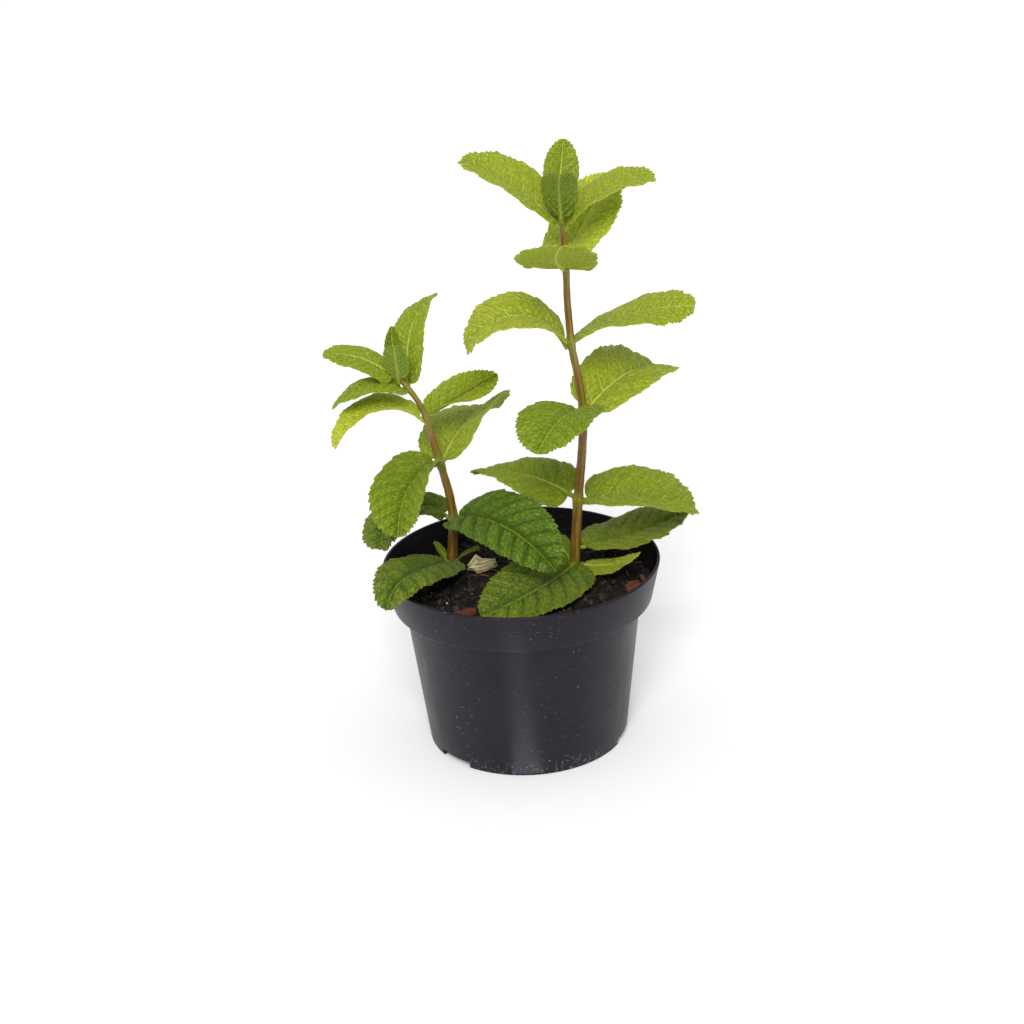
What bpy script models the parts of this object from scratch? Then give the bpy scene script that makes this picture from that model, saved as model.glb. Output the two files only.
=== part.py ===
"""Potted mint plant: a 12 cm nursery pot of potting soil with two rooted mint stems.

Sizes here are in millimetres and are turned to metres once, when a mesh is made.
The origin is the middle of the pot's underside, +Z is up, and the plant's front is at -Y.
"""

import math
from collections import namedtuple

import bmesh
import bpy
import numpy as np

MM = 0.001
GAP = 0.35  # clearance between neighbouring pieces

# Driving dimensions
POT_HEIGHT = 82.0
RIM_RADIUS = 60.0
BAND_HEIGHT = 17.0  # the collar under the rim
BAND_FOOT_RADIUS = 56.3
WALL_TOP_RADIUS = 51.4  # where the wall leaves the collar's step
FOOT_RADIUS = 43.9
WALL = 1.3
POT_SEGMENTS = 64

CHANNEL_ANGLES = (-18.0, -138.0, 102.0)  # drain channels, degrees round the pot
CHANNEL_WIDTH = 17.0
CHANNEL_HEIGHT = 3.0
CHANNEL_START = 24.0  # radius where a channel begins
DRAIN_RADIUS = 4.0
DRAIN_AT = 35.0  # radius of the drain holes' centres

SOIL_DROP = 11.5  # soil surface below the rim
SOIL_TOP = POT_HEIGHT - SOIL_DROP
SOIL_LUMP = 0.9
SOIL_SEGMENTS = 40

STEM_BURIED = 13.0  # how far a stem goes down into the soil
STEM_CORNER, STEM_SIDE = 1.09, 0.95  # how far the square section's corners and sides stand out
NODE_SWELLING = 0.22  # a stem's extra radius at a leaf node, as a share of its radius
NODE_REACH = 2.2  # how far above and below a node the swelling goes
NODE_RINGS = (-2.5, 0.0, 2.5)  # where a node has rings of its own
SOCKET_ROOM = 1.2  # the soil's hole for a stem, as a share of the stem's radius

LEAF_THICKNESS = 0.8
LEAF_ROWS = (0.03, 0.1, 0.2, 0.33, 0.47, 0.61, 0.75, 0.88, 0.97)
LEAF_COLUMNS = (-1, -0.55, 0, 0.55, 1)
PETIOLE_RADIUS = 0.9
PETIOLE_COLUMNS = (-0.9, -0.6, 0, 0.6, 0.9)
WIDEST_AT = 0.375  # where along its blade a leaf is widest
BASE_POWER, TIP_POWER = 0.45, 0.75  # how quickly a blade widens from its base and narrows to its tip
VEIN_SWEEP = (-0.45, 0.55)  # lean of the side veins at the base and from the leaf's middle outwards

# Each stem: its centreline above the soil, its radii at the soil and at the tip, the turn of its
# square section, and the heights of its leaf nodes, where it swells.
STEMS = {
    "tall_stem": dict(
        points=[(23.6, 10, 72), (24.4, 10, 85), (25.9, 10, 104), (28.2, 9, 125), (29.6, 9, 143),
                (28, 9, 158), (25.2, 9, 174), (24.2, 9, 193), (24.2, 9, 206), (23.4, 9, 219),
                (23.2, 9, 229)],
        radii=(2.2, 1.2),
        turn=20.0,
        nodes=(104.0, 145.0, 175.5, 207.0, 226.0),
    ),
    "short_stem": dict(
        points=[(-30.6, 20, 72), (-29.6, 20, 84), (-28.5, 20, 94), (-29.9, 19, 107), (-32.9, 18, 121),
                (-35.6, 17, 134), (-37.9, 16, 145), (-41.2, 15, 152), (-44.6, 14, 157.5),
                (-48, 13, 163)],
        radii=(2.2, 1.2),
        turn=-10.0,
        nodes=(94.0, 121.0, 143.0, 157.0),
    ),
}

# Each leaf, in millimetres and degrees. It leaves its stem at height z towards `heading` (from +X,
# anticlockwise), turns by `sweep` on the way, starts at the slope `rise` and bends down by `droop`;
# a `hook` above 1 keeps the bend for the tip. `roll` tips its left edge up at the base and `twist`
# adds to that by the tip. `fold` lifts both halves off the midrib and `curl` turns the edges down.
Leaf = namedtuple("Leaf", "name stem z heading sweep rise droop hook petiole length width "
                          "roll twist fold curl")
LEAVES = [
    Leaf("tall_base_front_leaf", "tall_stem", 75, -106, -48, 9, 19, 1, 9, 65, 33, -20, 6, 15, 10),
    Leaf("tall_base_right_leaf", "tall_stem", 81, 26, -34, -6, -38, 1, 5, 53, 32, -2, 10, 15, 12),
    Leaf("tall_base_small_leaf", "tall_stem", 74, -36, -10, 4, -34, 1, 4, 34, 16, 5, 8, 2, 12),
    Leaf("tall_base_inner_leaf", "tall_stem", 75, 135, 0, 45, 0, 1, 3, 12, 10, 0, 0, 15, 0),
    Leaf("tall_base_sprout", "tall_stem", 75, 195, 20, 40, 0, 1, 2, 11, 6, 0, 0, 15, 0),
    Leaf("tall_node1_left_leaf", "tall_stem", 105.5, 149, 16, 26, 38, 1, 4, 47, 31, -30, 52, 10, 12),
    Leaf("tall_node1_right_leaf", "tall_stem", 104, -9, 18, 12, 42, 1, 3, 49, 34, 9, 3, 24, 13),
    Leaf("tall_node2_front_leaf", "tall_stem", 145, -111, -6, 24, 50, 1, 3, 51, 31, 0, -5, 18, 14),
    Leaf("tall_node2_right_leaf", "tall_stem", 145, 39, 19, 36, 64, 1, 3, 54, 34, 19, -9, 23, 14),
    Leaf("tall_node3_left_leaf", "tall_stem", 175.5, -173, -26, 64, 138, 1, 3, 52, 27, -4, -28, 20, 16),
    Leaf("tall_node3_right_leaf", "tall_stem", 175.5, 33, -46, 21, 21, 1, 2, 54, 32, -26, 51, 10, 22),
    Leaf("tall_node4_front_leaf", "tall_stem", 207, -109, 30, 23, -6, 1, 3, 42, 32, 0, -5, 14, 33),
    Leaf("tall_node4_back_leaf", "tall_stem", 207, 77, -52, 29, -24, 1, 3, 47, 30, -22, 45, 16, 19),
    Leaf("tall_node5_left_leaf", "tall_stem", 225, 150, 10, 44, 29, 1, 3, 49, 26, -4, -11, 24, 13),
    Leaf("tall_node5_right_leaf", "tall_stem", 224, 22, -20, 49, 51, 1, 3, 42, 24, -9, 25, 20, 16),
    Leaf("tall_tip_back_leaf", "tall_stem", 229, 98, -50, 50, -30, 1, 3, 31, 15, 16, 28, 11, 4),
    Leaf("tall_tip_front_leaf", "tall_stem", 228, -99, 12, 64, 28, 1, 2, 27, 16, -4, 4, 24, -6),
    Leaf("short_base_rim_leaf", "short_stem", 74.5, -110, -8, 16, 90, 6, 7, 66, 27, -8, 0, 10, 10),
    Leaf("short_base_sprout", "short_stem", 74, 150, 20, 54, 0, 1, 2, 9, 6, 0, 0, 15, 0),
    Leaf("short_base_small_leaf", "short_stem", 75, -20, 0, 30, 0, 1, 2, 11, 8, 0, 0, 15, 0),
    Leaf("short_node1_front_leaf", "short_stem", 94, -52, 4, 26, 61, 1, 3, 66, 32, 18, 6, 22, 10),
    Leaf("short_node1_left_leaf", "short_stem", 95, 165, 80, 34, 98, 1, 4, 40, 30, -5, 25, 14, 12),
    Leaf("short_node2_left_leaf", "short_stem", 121, -137, 43, -2, 52, 1, 2, 43, 29, 3, -1, 33, 3),
    Leaf("short_node2_right_leaf", "short_stem", 121, 64, -7, 37, 56, 1, 2, 54, 34, -6, -21, 23, 8),
    Leaf("short_node3_left_leaf", "short_stem", 143, -151, 21, 44, 92, 1, 2, 50, 21, -25, 54, 20, 12),
    Leaf("short_node3_right_leaf", "short_stem", 143, 52, -51, 5, -28, 1, 2, 37, 19, -2, 74, 40, -1),
    Leaf("short_node4_left_leaf", "short_stem", 157, -148, -25, 37, 86, 1, 3, 34, 21, -11, 25, 10, 26),
    Leaf("short_node4_right_leaf", "short_stem", 157, 90, -38, 79, 76, 1, 3, 50, 17, -11, -12, 20, 16),
    Leaf("short_tip_left_leaf", "short_stem", 161.5, -174, -8, 50, 52, 1, 5, 33, 20, -20, 14, 4, 11),
    Leaf("short_tip_upright_leaf", "short_stem", 163, 110, 30, 70, -30, 1, 2.5, 21, 7, -12, 2, 5, 7),
    Leaf("short_tip_front_leaf", "short_stem", 162.4, -97, -10, 78, 0, 1, 1.5, 16, 11, 0, -6, 6, 5),
]

# Lying on the soil: bark chips as (name, x, y, length, width, turn) and the cut end of an old stem.
CHIPS = [
    ("bark_chip_front", -25.0, -31.0, 11.0, 5.0, 20.0),
    ("bark_chip_back", 17.0, 34.0, 9.0, 6.0, -30.0),
    ("bark_chip_right", 47.0, -13.0, 10.0, 5.0, 60.0),
]
CHIP_THICKNESS = 2.0
CHIP_REST = 0.6  # how far a chip's underside stays above the smooth soil
STUB_FROM = (-22.5, 10.0, 75.0)
STUB_TO = (-9.5, 11.5, 76.5)
STUB_RADIUS = 2.2
STUB_SECTIONS = ((0, 0.75), (0.25, 1.0), (0.7, 0.9), (1, 0.6))  # part of its length, share of its radius
SHARP_DEGREES = 35


def clear_scene():
    for item in list(bpy.data.objects):
        bpy.data.objects.remove(item)


def material(name, colour, roughness):
    made = bpy.data.materials.new(name)
    made.use_nodes = True
    shader = made.node_tree.nodes["Principled BSDF"]
    shader.inputs["Base Color"].default_value = (*colour, 1.0)
    shader.inputs["Roughness"].default_value = roughness
    shader.inputs["Metallic"].default_value = 0.0
    return made


def add_object(name, mesh_builder, finish=None):
    """Turns a bmesh in millimetres into a named object in metres."""
    bmesh.ops.recalc_face_normals(mesh_builder, faces=mesh_builder.faces)
    bmesh.ops.scale(mesh_builder, vec=(MM, MM, MM), verts=mesh_builder.verts)
    mesh = bpy.data.meshes.new(name)
    mesh_builder.to_mesh(mesh)
    mesh_builder.free()
    made = bpy.data.objects.new(name, mesh)
    bpy.context.collection.objects.link(made)
    if finish:
        mesh.materials.append(finish)
        mesh.shade_smooth()
        mesh.set_sharp_from_angle(angle=math.radians(SHARP_DEGREES))
    return made


def turned(name, profile, segments, finish=None):
    """A solid of revolution about Z; the profile's first and last points lie on the axis."""
    builder = bmesh.new()
    verts = [builder.verts.new((r, 0, z)) for r, z in profile]
    edges = [builder.edges.new(pair) for pair in zip(verts, verts[1:])]
    bmesh.ops.spin(builder, geom=verts + edges, axis=(0, 0, 1), cent=(0, 0, 0),
                   angle=2 * math.pi, steps=segments, use_merge=True)
    bmesh.ops.remove_doubles(builder, verts=builder.verts, dist=0.001)
    return add_object(name, builder, finish)


def box(name, low, high, angle):
    """A box between two corners, turned about Z by `angle` degrees."""
    builder = bmesh.new()
    bmesh.ops.create_cube(builder, size=1.0)
    middle = [(a + b) / 2 for a, b in zip(low, high)]
    bmesh.ops.scale(builder, vec=[b - a for a, b in zip(low, high)], verts=builder.verts)
    bmesh.ops.translate(builder, vec=middle, verts=builder.verts)
    made = add_object(name, builder)
    made.rotation_euler.z = math.radians(angle)
    return made


def cylinder(name, x, y, low, high, radius, segments=24):
    builder = bmesh.new()
    bmesh.ops.create_cone(builder, cap_ends=True, segments=segments, radius1=radius, radius2=radius,
                          depth=high - low)
    bmesh.ops.translate(builder, vec=(x, y, (low + high) / 2), verts=builder.verts)
    return add_object(name, builder)


def cut(target, cutter):
    """Takes the cutter's shape out of the target, exactly; the cutter stays as a hidden guide."""
    boolean = target.modifiers.new("cut_" + cutter.name, "BOOLEAN")
    boolean.operation = "DIFFERENCE"
    boolean.solver = "EXACT"
    boolean.object = cutter
    cutter.hide_render = True
    cutter.display_type = "WIRE"


def wall_radius(z):
    """Outer radius of the pot's wall, below the collar."""
    return FOOT_RADIUS + (WALL_TOP_RADIUS - FOOT_RADIUS) * z / (POT_HEIGHT - BAND_HEIGHT)


def band_radius(z):
    """Outer radius of the collar."""
    return RIM_RADIUS - (RIM_RADIUS - BAND_FOOT_RADIUS) * (POT_HEIGHT - z) / BAND_HEIGHT


def build_pot():
    step = POT_HEIGHT - BAND_HEIGHT
    outside = [(0, 0), (FOOT_RADIUS, 0), (WALL_TOP_RADIUS, step), (BAND_FOOT_RADIUS, step),
               (RIM_RADIUS, POT_HEIGHT), (0, POT_HEIGHT)]
    inside = [(0, WALL), (wall_radius(WALL) - WALL, WALL), (wall_radius(step) - WALL, step + WALL),
              (band_radius(step + WALL) - WALL, step + WALL), (RIM_RADIUS - WALL, POT_HEIGHT),
              (RIM_RADIUS - WALL, POT_HEIGHT + 5), (0, POT_HEIGHT + 5)]
    body = turned("pot", outside, POT_SEGMENTS, material("black_polypropylene", (0.03, 0.03, 0.04), 0.45))
    hollow = turned("pot_hollow", inside, POT_SEGMENTS)
    cut(body, hollow)
    for number, angle in enumerate(CHANNEL_ANGLES, 1):
        half = CHANNEL_WIDTH / 2
        cap = box(f"channel_cap_{number}", (CHANNEL_START - WALL, -half - WALL, -5),
                  (RIM_RADIUS, half + WALL, CHANNEL_HEIGHT + WALL), angle)
        cut(hollow, cap)
        cut(body, box(f"channel_{number}", (CHANNEL_START, -half, -5),
                      (RIM_RADIUS, half, CHANNEL_HEIGHT), angle))
        x = DRAIN_AT * math.cos(math.radians(angle))
        y = DRAIN_AT * math.sin(math.radians(angle))
        cut(body, cylinder(f"drain_{number}", x, y, 1, 10, DRAIN_RADIUS))


def soil_height(x, y):
    """Height of the loosely heaped soil at a place."""
    return SOIL_TOP + SOIL_LUMP * (0.5 * np.sin(0.21 * x + 1.0) * np.cos(0.17 * y)
                                   + 0.3 * np.sin(0.33 * y + 0.12 * x)
                                   + 0.2 * np.cos(0.47 * x - 0.31 * y))


def build_soil():
    step = POT_HEIGHT - BAND_HEIGHT + WALL
    inset = WALL + GAP
    low = WALL + GAP
    edge = band_radius(SOIL_TOP) - inset
    profile = [(0, low), (wall_radius(low) - inset, low), (wall_radius(step) - inset, step + GAP),
               (band_radius(step + GAP) - inset, step + GAP), (edge, SOIL_TOP)]
    profile += [(edge * part, SOIL_TOP) for part in (0.86, 0.7, 0.54, 0.38, 0.22, 0.08)] + [(0, SOIL_TOP)]
    body = turned("potting_soil", profile, SOIL_SEGMENTS, material("peat_soil", (0.03, 0.02, 0.015), 0.95))
    for vert in body.data.vertices:
        if vert.co.z > (SOIL_TOP - 0.1) * MM:
            vert.co.z = soil_height(vert.co.x / MM, vert.co.y / MM) * MM
    for number, angle in enumerate(CHANNEL_ANGLES, 1):
        half = CHANNEL_WIDTH / 2 + WALL + GAP
        cut(body, box(f"soil_over_channel_{number}", (CHANNEL_START - WALL - GAP, -half, -5),
                      (RIM_RADIUS, half, CHANNEL_HEIGHT + WALL + GAP), angle))
    for name, stem in STEMS.items():
        x, y, z = stem["points"][0]
        cut(body, cylinder("socket_" + name, x, y, z - STEM_BURIED - GAP, z + 10,
                           stem["radii"][0] * SOCKET_ROOM + GAP, 16))


def stem_centre(name, z):
    """The middle of a stem at a height."""
    xs, ys, zs = zip(*STEMS[name]["points"])
    return np.array([np.interp(z, zs, xs), np.interp(z, zs, ys), z])


def stem_radius(name, z):
    """A stem's mean radius at a height, with a swelling at each leaf node."""
    stem = STEMS[name]
    heights = [point[2] for point in stem["points"]]
    thinning = np.interp(z, (heights[0], heights[-1]), stem["radii"])
    swelling = sum(NODE_SWELLING * math.exp(-((z - node) / NODE_REACH) ** 2) for node in stem["nodes"])
    return thinning * (1 + swelling)


def ring_solid(name, rings, finish):
    """A closed solid skinned over rings of equal point counts, with flat ends."""
    builder = bmesh.new()
    loops = [[builder.verts.new(point) for point in ring] for ring in rings]
    for loop, following in zip(loops, loops[1:]):
        for i in range(len(loop)):
            j = (i + 1) % len(loop)
            builder.faces.new((loop[i], loop[j], following[j], following[i]))
    builder.faces.new(loops[0])
    builder.faces.new(loops[-1])
    return add_object(name, builder, finish)


def build_stem(name):
    """A mint stem is square with rounded corners: rings of eight points, corners and sides in turn."""
    heights = [point[2] for point in STEMS[name]["points"]]
    levels = {heights[0] - STEM_BURIED, heights[0] - 6.0, *heights}
    for node in STEMS[name]["nodes"]:
        levels |= {node + offset for offset in NODE_RINGS}
    levels = sorted(z for z in levels if z <= heights[-1])
    rings = []
    for z in levels:
        middle = stem_centre(name, z)
        radius = stem_radius(name, z)
        ring = []
        for corner in range(8):
            angle = math.radians(STEMS[name]["turn"] + 45 * corner)
            reach = radius * (STEM_CORNER if corner % 2 == 0 else STEM_SIDE)
            ring.append(middle + reach * np.array([math.cos(angle), math.sin(angle), 0]))
        rings.append(ring)
    return ring_solid(name, rings, material(name + "_skin", (0.2, 0.12, 0.02), 0.5))


def midrib(leaf, at):
    """Points and cross directions of a leaf's midrib at the fractions `at` of its length.

    The leaf starts at its own origin and heads along +X. Past both ends the midrib runs on straight.
    """
    steps = np.linspace(-0.4, 1.4, 181)
    inside = np.clip(steps, 0, 1)
    turn = np.radians(leaf.sweep * inside)
    slope = np.radians(leaf.rise - leaf.droop * inside ** leaf.hook)
    tip = np.radians(leaf.roll + leaf.twist * inside)[:, None]
    along = np.stack([np.cos(slope) * np.cos(turn), np.cos(slope) * np.sin(turn), np.sin(slope)], 1)
    level = np.stack([-np.sin(turn), np.cos(turn), 0 * turn], 1)
    above = np.cross(along, level)
    side = np.cos(tip) * level + np.sin(tip) * above
    up = np.cos(tip) * above - np.sin(tip) * level
    halves = (along[1:] + along[:-1]) / 2 * (steps[1] - steps[0]) * leaf.length
    points = np.vstack([np.zeros(3), np.cumsum(halves, 0)])
    points -= points[np.argmin(abs(steps))]
    return [np.stack([np.interp(at, steps, part[:, i]) for i in range(3)], -1)
            for part in (points, side, up)]


def blade_half_width(leaf, u):
    """Half the width of the ovate blade: broad near its heart-shaped base, narrow at its tip."""
    full = WIDEST_AT ** BASE_POWER * (1 - WIDEST_AT) ** TIP_POWER
    return leaf.width / 2 * u ** BASE_POWER * (1 - u) ** TIP_POWER / full


def leaf_sheet(leaf, u, across):
    """Points of the leaf's middle surface: `u` runs along the blade, `across` from edge to edge.

    Rows follow the side veins: swept back near the base, where they make the two lobes, and forward
    further out.
    """
    reach = blade_half_width(leaf, u)[:, None] * across
    swept = np.interp(u, (0, 0.45), VEIN_SWEEP)[:, None]
    start = leaf.petiole / leaf.length
    at = start + (1 - start) * u[:, None] + abs(reach) * swept / leaf.length
    points, side, up = midrib(leaf, at)
    lift = np.radians(leaf.fold - leaf.curl * abs(across) / 2)[..., None]
    reach = reach[..., None]
    return points + side * reach * np.cos(lift) + up * abs(reach) * np.sin(lift)


def build_leaf(leaf):
    """A thin closed blade on its petiole, placed on the stem's skin at its node."""
    sheet = leaf_sheet(leaf, np.array(LEAF_ROWS), np.tile(LEAF_COLUMNS, (len(LEAF_ROWS), 1)))
    lengthways = np.gradient(sheet, axis=0)
    crossways = np.gradient(sheet, axis=1)
    normal = np.cross(lengthways, crossways)
    normal /= np.linalg.norm(normal, axis=2, keepdims=True)
    half = LEAF_THICKNESS / 2
    rings = []
    points, side, up = midrib(leaf, np.array([0.0, 0.5, 1.0]) * leaf.petiole / leaf.length)
    for point, out, over in zip(points, side, up):
        reach = PETIOLE_RADIUS * np.array(PETIOLE_COLUMNS)
        top = [point + out * x + over * PETIOLE_RADIUS * 0.8 for x in reach]
        rings.append(top + [point + out * x - over * PETIOLE_RADIUS * 0.8 for x in reach[::-1]])
    for row, lift in zip(sheet, normal):
        rings.append(list(row + lift * half) + list((row - lift * half)[::-1]))
    made = ring_solid(leaf.name, rings, material(leaf.name + "_blade", (0.12, 0.22, 0.03), 0.5))
    outward = math.radians(leaf.heading)
    skin = stem_radius(leaf.stem, leaf.z) * 1.1
    stand_off = skin + GAP + PETIOLE_RADIUS * math.sin(math.radians(leaf.rise))
    place = stem_centre(leaf.stem, leaf.z) + stand_off * np.array([math.cos(outward), math.sin(outward), 0])
    made.location = place * MM
    made.rotation_euler.z = outward


def bark_chip(name, x, y, length, width, turn):
    """A flat splinter of bark that follows the soil under it."""
    builder = bmesh.new()
    bmesh.ops.create_cube(builder, size=1.0)
    for vert in builder.verts:
        taper = 0.6 + 0.4 * (vert.co.x > 0)
        along, aside = vert.co.x * length, vert.co.y * width * taper
        angle = math.radians(turn)
        vert.co.x = x + along * math.cos(angle) - aside * math.sin(angle)
        vert.co.y = y + along * math.sin(angle) + aside * math.cos(angle)
        lift = CHIP_REST if vert.co.z < 0 else CHIP_REST + CHIP_THICKNESS
        vert.co.z = soil_height(vert.co.x, vert.co.y) + lift
    add_object(name, builder, material(name + "_cork", (0.16, 0.06, 0.03), 0.9))


def cut_stub():
    """The cream cut end of an old stem, lying on the soil."""
    start, end = np.array(STUB_FROM), np.array(STUB_TO)
    along = (end - start) / np.linalg.norm(end - start)
    side = np.cross(along, (0, 0, 1))
    side /= np.linalg.norm(side)
    up = np.cross(side, along)
    rings = []
    for part, swell in STUB_SECTIONS:
        ring = []
        for step in range(8):
            angle = math.pi * step / 4
            offset = math.cos(angle) * side + math.sin(angle) * up
            ring.append(start + (end - start) * part + STUB_RADIUS * swell * offset)
        rings.append(ring)
    ring_solid("cut_stem_stub", rings, material("dry_stem_wood", (0.55, 0.42, 0.22), 0.8))


clear_scene()
build_pot()
build_soil()
for stem_name in STEMS:
    build_stem(stem_name)
for entry in LEAVES:
    build_leaf(entry)
for chip in CHIPS:
    bark_chip(*chip)
cut_stub()
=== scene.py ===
# Potted mint plant: the looks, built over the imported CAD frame.
# Lengths are in millimetres in the dictionaries and turn to metres when a mesh is made.
import math
from functools import partial
from itertools import product

import bpy
import numpy as np
from mathutils import Matrix, Vector


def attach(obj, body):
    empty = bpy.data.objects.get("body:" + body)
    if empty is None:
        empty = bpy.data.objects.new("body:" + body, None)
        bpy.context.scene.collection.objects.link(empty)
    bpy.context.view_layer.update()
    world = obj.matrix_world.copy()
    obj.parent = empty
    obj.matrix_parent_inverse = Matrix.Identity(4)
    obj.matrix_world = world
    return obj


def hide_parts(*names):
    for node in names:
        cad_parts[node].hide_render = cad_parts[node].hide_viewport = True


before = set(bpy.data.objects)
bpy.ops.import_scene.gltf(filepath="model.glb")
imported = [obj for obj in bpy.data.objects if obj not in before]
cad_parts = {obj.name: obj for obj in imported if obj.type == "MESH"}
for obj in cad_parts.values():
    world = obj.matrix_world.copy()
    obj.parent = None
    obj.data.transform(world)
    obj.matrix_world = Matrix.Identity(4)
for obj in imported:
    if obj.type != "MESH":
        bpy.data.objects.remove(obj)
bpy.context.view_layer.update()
mm = 0.001
seed = 11


def paint(hexCode):
    # an sRGB hex colour as linear RGBA
    parts = [int(hexCode[i:i + 2], 16) / 255 for i in (1, 3, 5)]
    return tuple(c / 12.92 if c <= 0.04045 else ((c + 0.055) / 1.055) ** 2.4 for c in parts) + (1.0,)


def smooth(low, high, value):
    # 0 below low, 1 above high, with an S-curve between
    t = np.clip((value - low) / (high - low), 0, 1)
    return t * t * (3 - 2 * t)


# how every finish is put together


def plug(node, inputs):
    # gives each input, by name or number, its value, or links it where the value is a socket
    for key, value in inputs.items():
        if isinstance(value, bpy.types.NodeSocket):
            node.id_data.links.new(value, node.inputs[key])
        else:
            node.inputs[key].default_value = value


def add(tree, kind, *values, out=0, stops=(), **settings):
    # one node, and back comes one of its outputs: values or sockets fill its inputs in order, a keyword is
    # a property or an input's name, and stops are a colour ramp's places and colours; a second word in
    # `kind` is the node's operation or data type
    kind, *mode = kind.split()
    node = tree.nodes.new("ShaderNode" + kind)
    settings |= {"operation" if hasattr(node, "operation") else "data_type": word for word in mode}
    for key in [key for key in settings if hasattr(node, key)]:
        setattr(node, key, settings.pop(key))
    for socket, value in zip([socket for socket in node.inputs if socket.enabled], values):
        plug(node, {list(node.inputs).index(socket): value})
    plug(node, {key.replace("_", " "): value for key, value in settings.items()})
    for number, (place, colour) in enumerate(stops):
        scale = node.color_ramp.elements
        element = scale[number] if number < 2 else scale.new(place)
        element.position = place
        element.color = colour
    if isinstance(out, str):
        return node.outputs[out]
    return [socket for socket in node.outputs if socket.enabled][out]


def newMaterial(name):
    # a material, its shader, and add() bound to its node tree
    made = bpy.data.materials.new(name)
    made.use_nodes = True
    return made, made.node_tree.nodes["Principled BSDF"], partial(add, made.node_tree)


# how every mesh is put together


def ringFaces(rows, count, flipped=False):
    # quads that skin rows of closed rings, each of `count` points, and a cap at each end; flipped where
    # the rings run clockwise seen from the last one
    here = np.arange(rows - 1)[:, None] * count + np.arange(count)
    beside = np.arange(rows - 1)[:, None] * count + (np.arange(count) + 1) % count
    corners = [here, beside, beside + count, here + count]
    if flipped:
        corners[1:] = corners[:0:-1]
    quads = np.stack(corners, -1).reshape(-1, 4).tolist()
    firstCap = list(range(count))
    lastCap = list(range((rows - 1) * count, rows * count))
    return quads + ([firstCap, lastCap[::-1]] if flipped else [firstCap[::-1], lastCap])


def newObject(name, points, faces):
    # an object at the origin, unturned and unscaled, from points in millimetres
    mesh = bpy.data.meshes.new(name)
    mesh.from_pydata((points.reshape(-1, 3) * mm).tolist(), [], faces)
    made = bpy.data.objects.new(name, mesh)
    bpy.context.collection.objects.link(made)
    return made


def makePiece(name, points, faces, finish, attributes):
    # a smooth-shaded piece whose points carry attributes for its finish
    piece = newObject(name, points, faces)
    mesh = piece.data
    for label, values in attributes.items():
        kind = "FLOAT_VECTOR" if values.shape[-1] == 3 and values.ndim > 1 else "FLOAT"
        layer = mesh.attributes.new(label, kind, "POINT")
        layer.data.foreach_set("vector" if kind == "FLOAT_VECTOR" else "value",
                               values.astype(np.float32).ravel())
    mesh.shade_smooth()
    mesh.materials.append(finish)
    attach(piece, "root")
    return piece


# the two stems

stems = {
    "tall_stem": {
        "points": [(23.6, 10, 58), (23.6, 10, 72), (24.4, 10, 85), (25.9, 10, 104), (28.2, 9, 125),
                   (29.6, 9, 143), (28, 9, 158), (25.2, 9, 174), (24.2, 9, 193), (24.2, 9, 206),
                   (23.4, 9, 219), (23.2, 9, 229)],
        "radii": (2.2, 1.2), "turn": 20.0, "nodes": (104.0, 145.0, 175.5, 207.0, 226.0),
    },
    "short_stem": {
        "points": [(-30.6, 20, 58), (-30.6, 20, 72), (-29.6, 20, 84), (-28.5, 20, 94), (-29.9, 19, 107),
                   (-32.9, 18, 121), (-35.6, 17, 134), (-37.9, 16, 145), (-41.2, 15, 152),
                   (-44.6, 14, 157.5), (-48, 13, 163)],
        "radii": (2.2, 1.2), "turn": -10.0, "nodes": (94.0, 121.0, 143.0, 157.0),
    },
}


stemForm = {
    "rows": 420, "sides": 40, "smoothOver": 5.0, "tipRounding": 1.0,
    "squareness": 0.075, "sideGroove": 0.02,
    "swelling": 0.22, "swellingReach": 2.2,
    "collar": 0.07, "collarBelow": 2.6, "collarReach": 0.5,
    "greenReach": 5.0,
}


def stemCentre(name, z):
    # middle of the stem at heights z, straight between its listed points
    xs, ys, zs = np.array(stems[name]["points"], float).T
    return np.stack([np.interp(z, zs, xs), np.interp(z, zs, ys), np.asarray(z, float) + 0 * z], -1)


def stemRadius(name, z):
    # tapers from the soil to the tip and swells in a bell shape at every leaf node
    stem = stems[name]
    heights = [stem["points"][1][2], stem["points"][-1][2]]
    swelling = sum(np.exp(-((z - node) / stemForm["swellingReach"]) ** 2) for node in stem["nodes"])
    return np.interp(z, heights, stem["radii"]) * (1 + stemForm["swelling"] * swelling)


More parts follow.
